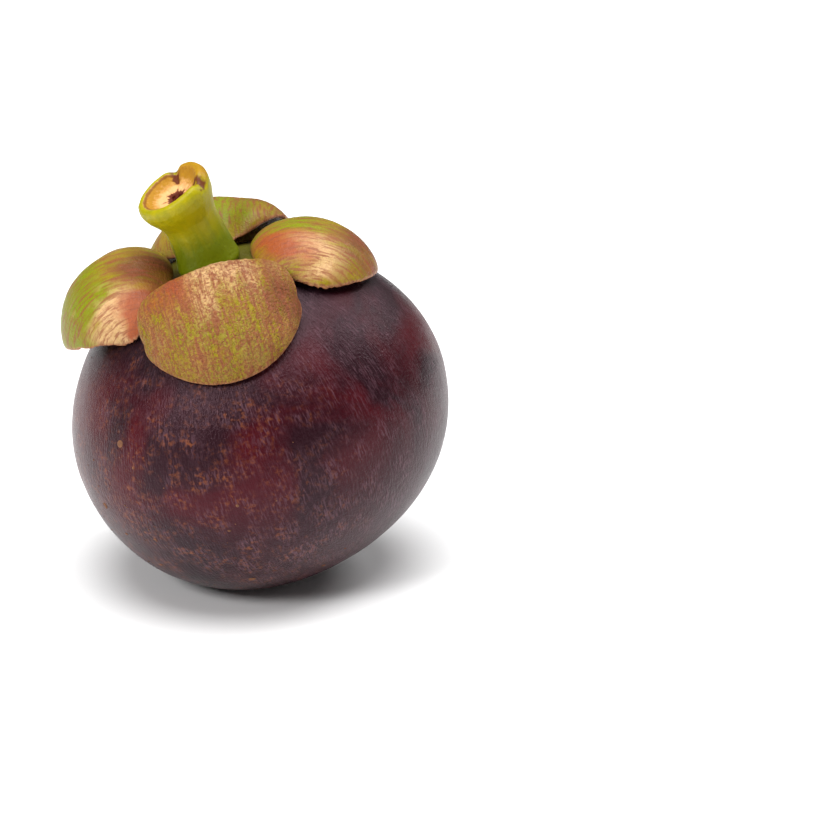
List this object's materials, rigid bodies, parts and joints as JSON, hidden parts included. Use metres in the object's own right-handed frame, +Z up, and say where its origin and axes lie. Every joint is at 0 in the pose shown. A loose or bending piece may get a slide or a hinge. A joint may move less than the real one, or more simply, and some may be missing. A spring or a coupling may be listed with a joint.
{
  "type": "mangosteen",
  "caption": "Whole ripe mangosteen fruit with a thick rind, a cupped calyx, a short woody stalk and a dry stigma rosette underneath, resting on a small flat spot.",
  "frame": {"origin": "centre of the small flat spot under the rind that the fruit rests on", "axes": "+Z up from the surface it rests on; the stalk end leans towards -X and a little towards -Y; +Y is away from the front"},
  "size_m": [0.0603, 0.06, 0.0669],
  "materials": {
    "rind": "satin",
    "stalk": "satin",
    "calyx": "satin",
    "stigma": "matte"
  },
  "bodies": {
    "root": {"fruit_body": "rind", "stalk": "stalk", "sepal_front": "calyx", "sepal_left": "calyx", "sepal_right": "calyx", "sepal_back": "calyx", "stigma_rosette": "stigma"}
  },
  "joints": []
}
